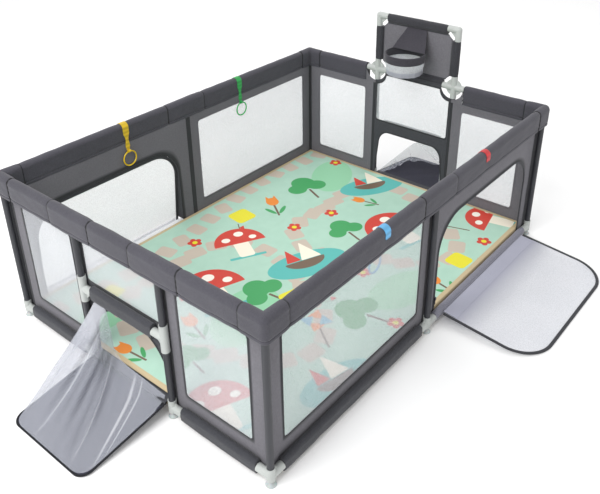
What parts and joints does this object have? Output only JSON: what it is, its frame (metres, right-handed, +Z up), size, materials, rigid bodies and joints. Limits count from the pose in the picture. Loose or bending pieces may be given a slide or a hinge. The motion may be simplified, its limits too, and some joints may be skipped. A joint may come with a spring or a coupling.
{
  "type": "playpen",
  "caption": "Rectangular fabric and mesh playpen on a steel tube frame, with zipped arch doors, goal openings with nets, a hoop tower, pull rings and a foam floor mat.",
  "frame": {"origin": "middle of the mat on the floor", "axes": "+X along the long walls toward the hoop tower, -Y out through the open door, +Z up"},
  "size_m": [2.6648, 1.8281, 0.9617],
  "materials": {
    "frame_tube": "satin charcoal powder coat",
    "joint_plastic": "moulded light grey",
    "suction_rubber": "soft clear-grey cup",
    "cover_fabric": "padded dark grey cloth",
    "wrap_fabric": "dark grey cloth",
    "sill_fabric": "mid grey cloth",
    "border_fabric": "mid grey cloth",
    "mesh": "fine white mesh",
    "binding": "dark woven binding",
    "zip_tape": "dark zip tape",
    "zip_metal": "dark enamel",
    "flap_fabric": "dark grey cloth",
    "net": "sheer white net",
    "board_fabric": "stretched grey cloth",
    "yoke_fabric": "dark cloth",
    "mat_foam": null,
    "yellow": "yellow webbing",
    "green": "green webbing",
    "red": "red webbing",
    "blue": "light blue webbing",
    "yellow_plastic": "smooth",
    "green_plastic": "smooth",
    "red_plastic": "smooth",
    "blue_plastic": "smooth"
  },
  "bodies": {
    "pen": {"back_bay_border": "border_fabric", "back_bay_mesh": "mesh", "back_door_panel": "border_fabric", "backboard": "board_fabric", "blue_strap": "blue", "bottom_rail_tubes": "frame_tube", "bottom_wraps": "wrap_fabric", "corner_caps": "cover_fabric", "corner_feet": "joint_plastic", "crossbar_wraps": "wrap_fabric", "door_sill_wraps": "sill_fabric", "door_zips": "zip_tape", "front_bay_border": "border_fabric", "front_bay_mesh": "mesh", "front_door_panel": "border_fabric", "goal_crossbars": "frame_tube", "goal_feet": "joint_plastic", "goal_meshes": "mesh", "goal_panels": "wrap_fabric", "goal_posts": "frame_tube", "goal_sills": "wrap_fabric", "goal_tees": "joint_plastic", "green_strap": "green", "hoop_patch": "yoke_fabric", "hoop_yoke": "yoke_fabric", "left_goal_net": "net", "long_rail_covers": "cover_fabric", "middle_feet": "joint_plastic", "play_mat": "mat_foam", "red_strap": "red", "right_goal_net": "net", "short_bay_borders": "border_fabric", "short_bay_meshes": "mesh", "short_rail_covers": "cover_fabric", "suction_cups": "suction_rubber", "tee_covers": "cover_fabric", "top_corner_joints": "joint_plastic", "top_rail_tubes": "frame_tube", "top_tee_joints": "joint_plastic", "tower_cross_joints": "joint_plastic", "tower_elbows": "joint_plastic", "tower_sleeves": "cover_fabric", "tower_tubes": "frame_tube", "wall_posts": "frame_tube", "yellow_strap": "yellow"},
    "front_door_leaf": {"front_door_binding": "binding", "front_door_mesh": "mesh"},
    "back_door_leaf": {"back_door_binding": "binding", "back_door_mesh": "mesh"},
    "left_flap": {"left_goal_flap": "flap_fabric"},
    "right_flap": {"right_goal_flap": "flap_fabric"},
    "hoop": {"hoop_ring": "yoke_fabric", "hoop_basket": "mesh"},
    "front_slider": {"front_zip_slider": "zip_metal"},
    "back_slider": {"back_zip_slider": "zip_metal"},
    "yellow_pull_ring": {"yellow_ring": "yellow_plastic"},
    "green_pull_ring": {"green_ring": "green_plastic"},
    "red_pull_ring": {"red_ring": "red_plastic"},
    "blue_pull_ring": {"blue_ring": "blue_plastic"}
  },
  "joints": [
    {"name": "front_door_hinge", "type": "hinge", "parent": "pen", "child": "front_door_leaf", "pos_m": [0.4755, -0.7044, 0.045], "axis": [-1, 0, 0], "range_deg": [0, 100.5]},
    {"name": "back_door_hinge", "type": "hinge", "parent": "pen", "child": "back_door_leaf", "pos_m": [-0.4755, 0.7044, 0.045], "axis": [-1, 0, 0], "range_deg": [0, 100.5]},
    {"name": "left_flap_hinge", "type": "hinge", "parent": "pen", "child": "left_flap", "pos_m": [-0.9714, 0, 0.052], "axis": [0, 1, 0], "range_deg": [0, 97], "deforming": ["left_goal_net"]},
    {"name": "right_flap_hinge", "type": "hinge", "parent": "pen", "child": "right_flap", "pos_m": [0.9714, 0, 0.052], "axis": [0, -1, 0], "range_deg": [0, 97], "deforming": ["right_goal_net"]},
    {"name": "hoop_fold", "type": "hinge", "parent": "pen", "child": "hoop", "pos_m": [0.9452, 0, 0.82], "axis": [0, 1, 0], "range_deg": [0, 84], "deforming": ["hoop_yoke"]},
    {"name": "front_zip", "type": "slide", "parent": "pen", "child": "front_slider", "axis": [0, 0, 1], "range_m": [0, 0.19]},
    {"name": "back_zip", "type": "slide", "parent": "pen", "child": "back_slider", "axis": [0, 0, 1], "range_m": [0, 0.19]},
    {"name": "yellow_ring_swing", "type": "hinge", "parent": "pen", "child": "yellow_pull_ring", "pos_m": [-0.36, 0.6569, 0.5504], "axis": [-1, 0, 0], "range_deg": [0, 90]},
    {"name": "green_ring_swing", "type": "hinge", "parent": "pen", "child": "green_pull_ring", "pos_m": [0.36, 0.6569, 0.5504], "axis": [-1, 0, 0], "range_deg": [0, 90]},
    {"name": "red_ring_swing", "type": "hinge", "parent": "pen", "child": "red_pull_ring", "pos_m": [0.36, -0.6569, 0.5504], "axis": [1, 0, 0], "range_deg": [0, 90]},
    {"name": "blue_ring_swing", "type": "hinge", "parent": "pen", "child": "blue_pull_ring", "pos_m": [-0.36, -0.6569, 0.5504], "axis": [1, 0, 0], "range_deg": [0, 90]}
  ]
}
